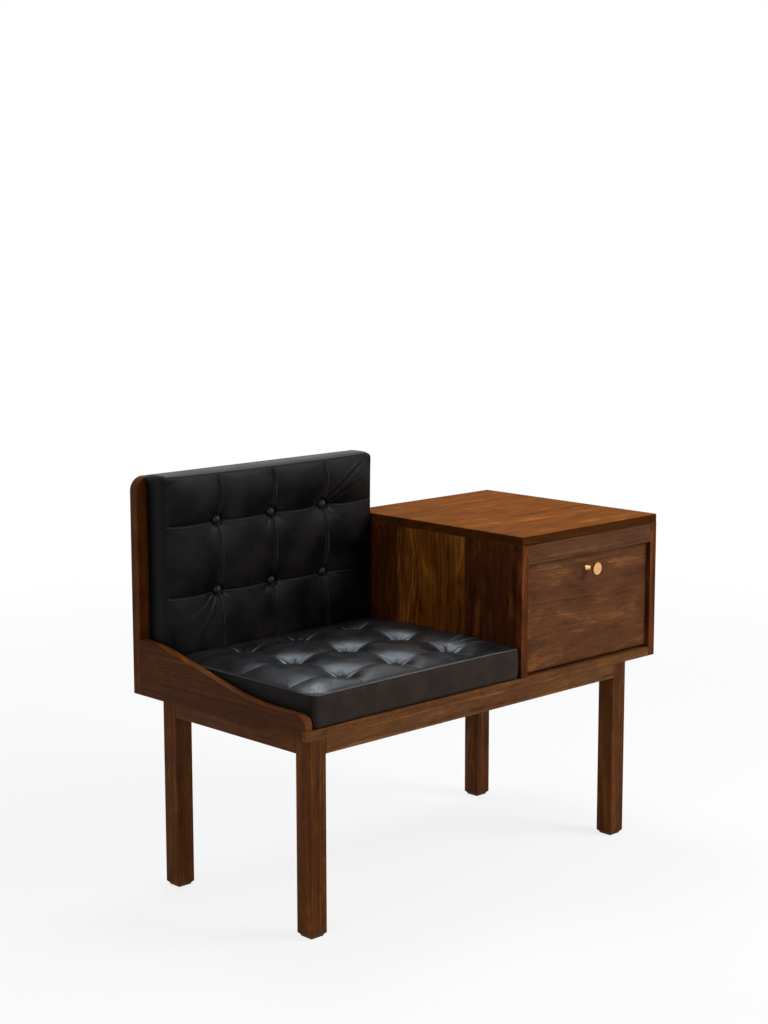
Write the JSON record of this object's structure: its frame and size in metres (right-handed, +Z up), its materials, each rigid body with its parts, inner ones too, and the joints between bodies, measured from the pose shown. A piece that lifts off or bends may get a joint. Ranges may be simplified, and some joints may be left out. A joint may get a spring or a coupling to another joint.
{
  "type": "telephone bench",
  "caption": "Low wooden bench with a tufted leather seat and back beside a small cabinet with a drop flap, knob and slotted stay, on a four-legged frame.",
  "frame": {"origin": "middle of the whole bench's bounding box, knob included, on the floor under the legs", "axes": "+X to the right along the bench as seen from the front, +Y from the front to the back, +Z up; the front with flap and knob faces -Y"},
  "size_m": [0.95, 0.5006, 0.771],
  "materials": {
    "frame_wood": "satin lacquer over dark walnut stain",
    "board_wood": "satin lacquer over dark walnut stain",
    "cabinet_wood": "satin lacquer over dark walnut stain, glued-up boards with mixed figure",
    "plain_wood": "unstained beech",
    "back_ply": "stained plywood",
    "hide": "soft black leather with fine grain",
    "copper": "satin copper plating",
    "brass": "brushed",
    "steel": "zinc plated",
    "catch_plastic": "moulded brown",
    "felt": "dark wool felt",
    "tape": "black hook and loop tape"
  },
  "bodies": {
    "root": {"apron_back": "frame_wood", "apron_front": "frame_wood", "apron_left": "frame_wood", "apron_right": "frame_wood", "back_buttons": "hide", "back_cushion": "hide", "back_panel": "board_wood", "back_tongues": "plain_wood", "cabinet_back": "back_ply", "cabinet_left_panel": "cabinet_wood", "cabinet_right_panel": "cabinet_wood", "cabinet_tongues": "plain_wood", "cabinet_top": "cabinet_wood", "catch_body": "catch_plastic", "catch_magnet": "steel", "corner_blocks": "plain_wood", "cushion_tapes": "tape", "flap_pivot_pins": "brass", "foot_pads": "felt", "front_lipping": "board_wood", "leg_back_left": "frame_wood", "leg_back_right": "frame_wood", "leg_front_left": "frame_wood", "leg_front_right": "frame_wood", "scroll_side": "board_wood", "seat_board": "board_wood", "seat_cushion": "hide", "seat_tongues": "plain_wood", "stay_stud": "brass", "top_rail": "cabinet_wood"},
    "flap": {"flap": "cabinet_wood", "flap_bushes": "brass", "knob": "copper", "knob_screw": "steel", "strike_plate": "steel", "stay_bracket": "brass", "stay_rivet": "brass"},
    "stay_arm": {"stay_arm": "brass"}
  },
  "joints": [
    {"name": "flap_hinge", "type": "hinge", "parent": "root", "child": "flap", "pos_m": [0.2735, -0.21875, 0.383], "axis": [1, 0, 0], "range_deg": [0, 90]},
    {"name": "stay_pivot", "type": "hinge", "parent": "flap", "child": "stay_arm", "pos_m": [0.45, -0.19775, 0.51129], "axis": [1, 0, 0], "range_deg": [-45, 0]}
  ],
  "couplings": [
    {"joint": "stay_pivot", "follows": "flap_hinge", "ratio": -0.5}
  ]
}
